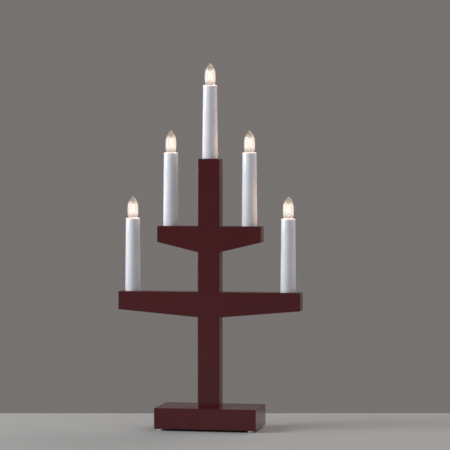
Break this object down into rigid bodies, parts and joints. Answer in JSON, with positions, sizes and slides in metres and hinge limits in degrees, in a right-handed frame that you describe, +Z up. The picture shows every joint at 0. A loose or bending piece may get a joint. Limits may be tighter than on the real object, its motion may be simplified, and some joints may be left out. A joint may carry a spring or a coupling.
{
  "type": "electric advent candlestick",
  "caption": "Painted wooden post with cross arms on a block base, carrying white candle tubes with small clear screw-in lamps.",
  "frame": {"origin": "on the table surface, under the middle of the base", "axes": "+Z up, +X to the right seen from the front, +Y towards the back"},
  "size_m": [0.266, 0.083, 0.5253],
  "materials": {
    "red_paint": "satin paint on wood",
    "tube_plastic": "gloss",
    "lamp_glass": "clear, lit from inside",
    "lamp_mount": "glowing filament on wire leads",
    "nickel": "plated",
    "brass": "plain",
    "steel": "zinc plated",
    "holder_plastic": "matt",
    "wire_insulation": "satin",
    "clear_bumper": "clear, soft",
    "black_rubber": "matt",
    "base_cover_board": "raw hardboard"
  },
  "bodies": {
    "candlestick": {"base_block": "red_paint", "base_cover": "base_cover_board", "foot_front_left": "clear_bumper", "foot_front_right": "clear_bumper", "foot_back_left": "clear_bumper", "foot_back_right": "clear_bumper", "post_screw_left": "steel", "post_screw_right": "steel", "cable_bush": "black_rubber", "terminal_block": "holder_plastic", "post": "red_paint", "upper_arm": "red_paint", "lower_arm": "red_paint", "back_cover": "red_paint", "candle_tube_lower_left": "tube_plastic", "candle_tube_upper_left": "tube_plastic", "candle_tube_top": "tube_plastic", "candle_tube_upper_right": "tube_plastic", "candle_tube_lower_right": "tube_plastic", "lampholder_lower_left": "holder_plastic", "lampholder_upper_left": "holder_plastic", "lampholder_top": "holder_plastic", "lampholder_upper_right": "holder_plastic", "lampholder_lower_right": "holder_plastic", "screw_shell_lower_left": "brass", "screw_shell_upper_left": "brass", "screw_shell_top": "brass", "screw_shell_upper_right": "brass", "screw_shell_lower_right": "brass", "centre_contact_lower_left": "brass", "centre_contact_upper_left": "brass", "centre_contact_top": "brass", "centre_contact_upper_right": "brass", "centre_contact_lower_right": "brass", "wire_supply": "wire_insulation", "wire_left_link": "wire_insulation", "wire_upper_left": "wire_insulation", "wire_upper_right": "wire_insulation", "wire_right_link": "wire_insulation", "wire_return": "wire_insulation"},
    "lift_lower_left": {"lamp_contact_lower_left": "nickel"},
    "lamp_lower_left": {"lamp_cap_lower_left": "nickel", "lamp_glass_lower_left": "lamp_glass", "lamp_mount_lower_left": "lamp_mount"},
    "lift_upper_left": {"lamp_contact_upper_left": "nickel"},
    "lamp_upper_left": {"lamp_cap_upper_left": "nickel", "lamp_glass_upper_left": "lamp_glass", "lamp_mount_upper_left": "lamp_mount"},
    "lift_top": {"lamp_contact_top": "nickel"},
    "lamp_top": {"lamp_cap_top": "nickel", "lamp_glass_top": "lamp_glass", "lamp_mount_top": "lamp_mount"},
    "lift_upper_right": {"lamp_contact_upper_right": "nickel"},
    "lamp_upper_right": {"lamp_cap_upper_right": "nickel", "lamp_glass_upper_right": "lamp_glass", "lamp_mount_upper_right": "lamp_mount"},
    "lift_lower_right": {"lamp_contact_lower_right": "nickel"},
    "lamp_lower_right": {"lamp_cap_lower_right": "nickel", "lamp_glass_lower_right": "lamp_glass", "lamp_mount_lower_right": "lamp_mount"}
  },
  "joints": [
    {"name": "rise_lower_left", "type": "slide", "parent": "candlestick", "child": "lift_lower_left", "axis": [0, 0, 1], "range_m": [0, 0.00724]},
    {"name": "unscrew_lower_left", "type": "hinge", "parent": "lift_lower_left", "child": "lamp_lower_left", "pos_m": [-0.1138, 0, 0.3033], "axis": [0, 0, 1], "range_deg": [0, 1440]},
    {"name": "rise_upper_left", "type": "slide", "parent": "candlestick", "child": "lift_upper_left", "axis": [0, 0, 1], "range_m": [0, 0.00724]},
    {"name": "unscrew_upper_left", "type": "hinge", "parent": "lift_upper_left", "child": "lamp_upper_left", "pos_m": [-0.0575, 0, 0.3978], "axis": [0, 0, 1], "range_deg": [0, 1440]},
    {"name": "rise_top", "type": "slide", "parent": "candlestick", "child": "lift_top", "axis": [0, 0, 1], "range_m": [0, 0.00724]},
    {"name": "unscrew_top", "type": "hinge", "parent": "lift_top", "child": "lamp_top", "pos_m": [0, 0, 0.4943], "axis": [0, 0, 1], "range_deg": [0, 1440]},
    {"name": "rise_upper_right", "type": "slide", "parent": "candlestick", "child": "lift_upper_right", "axis": [0, 0, 1], "range_m": [0, 0.00724]},
    {"name": "unscrew_upper_right", "type": "hinge", "parent": "lift_upper_right", "child": "lamp_upper_right", "pos_m": [0.0575, 0, 0.3978], "axis": [0, 0, 1], "range_deg": [0, 1440]},
    {"name": "rise_lower_right", "type": "slide", "parent": "candlestick", "child": "lift_lower_right", "axis": [0, 0, 1], "range_m": [0, 0.00724]},
    {"name": "unscrew_lower_right", "type": "hinge", "parent": "lift_lower_right", "child": "lamp_lower_right", "pos_m": [0.1138, 0, 0.3033], "axis": [0, 0, 1], "range_deg": [0, 1440]}
  ],
  "couplings": [
    {"joint": "rise_lower_left", "follows": "unscrew_lower_left", "m_per_rad": 0.000288},
    {"joint": "rise_upper_left", "follows": "unscrew_upper_left", "m_per_rad": 0.000288},
    {"joint": "rise_top", "follows": "unscrew_top", "m_per_rad": 0.000288},
    {"joint": "rise_upper_right", "follows": "unscrew_upper_right", "m_per_rad": 0.000288},
    {"joint": "rise_lower_right", "follows": "unscrew_lower_right", "m_per_rad": 0.000288}
  ]
}
